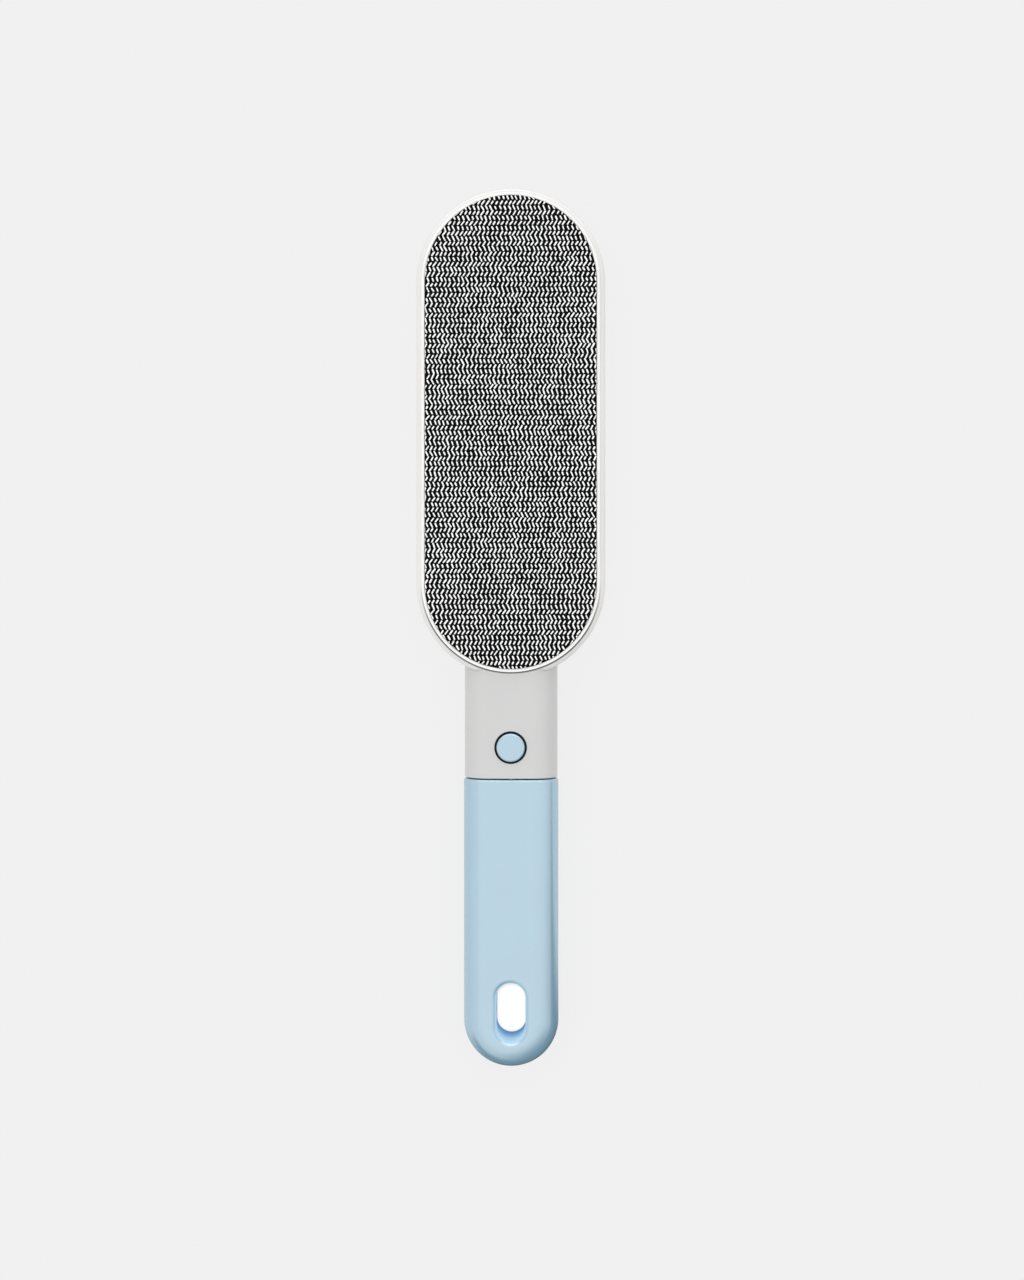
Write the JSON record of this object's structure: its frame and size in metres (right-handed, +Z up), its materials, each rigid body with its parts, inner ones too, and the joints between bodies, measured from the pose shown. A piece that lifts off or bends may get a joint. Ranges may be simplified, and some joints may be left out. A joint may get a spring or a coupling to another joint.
{
  "type": "pet hair removal brush",
  "caption": "Two-sided napped lint and pet hair brush with a long round-ended head, a neck button that frees its turning head, and a handle with a hang slot.",
  "frame": {"origin": "below the middle of the brush's outline, on the surface that it lies on", "axes": "+Y along the brush from the handle to the head, +X across it, +Z up through the pad that faces up"},
  "size_m": [0.0672, 0.3138, 0.0229],
  "materials": {
    "white_plastic": "semi-gloss moulded",
    "blue_plastic": "glossy moulded",
    "black_plastic": "semi-gloss",
    "nap_fabric": "directional nap, black with light-grey rows",
    "steel": "plated",
    "acetal": "natural acetal"
  },
  "bodies": {
    "handle": {"handle_shell_front": "blue_plastic", "handle_shell_back": "blue_plastic", "handle_screws": "steel", "spindle": "steel", "spindle_pin": "steel", "detent_disc": "steel", "retaining_clip": "steel", "thrust_washer": "acetal"},
    "head": {"head_shell_front": "white_plastic", "head_shell_back": "white_plastic", "head_screws": "steel", "pad_plate_front": "white_plastic", "pad_plate_back": "white_plastic", "fabric_front": "nap_fabric", "fabric_back": "nap_fabric", "button_ring": "black_plastic", "bush_lower": "acetal", "bush_upper": "acetal", "detent_spring": "steel"},
    "button": {"button_cap": "blue_plastic", "lock_yoke": "acetal"}
  },
  "joints": [
    {"name": "head_turn", "type": "hinge", "parent": "handle", "child": "head", "pos_m": [0, -0.05305, 0.01145], "axis": [0, 1, 0], "range_deg": [0, 180]},
    {"name": "button_press", "type": "slide", "parent": "head", "child": "button", "axis": [0, 0, -1], "range_m": [0, 0.0012], "stiffness_N_per_m": 600, "springref_m": -0.002, "deforming": ["detent_spring"]}
  ]
}
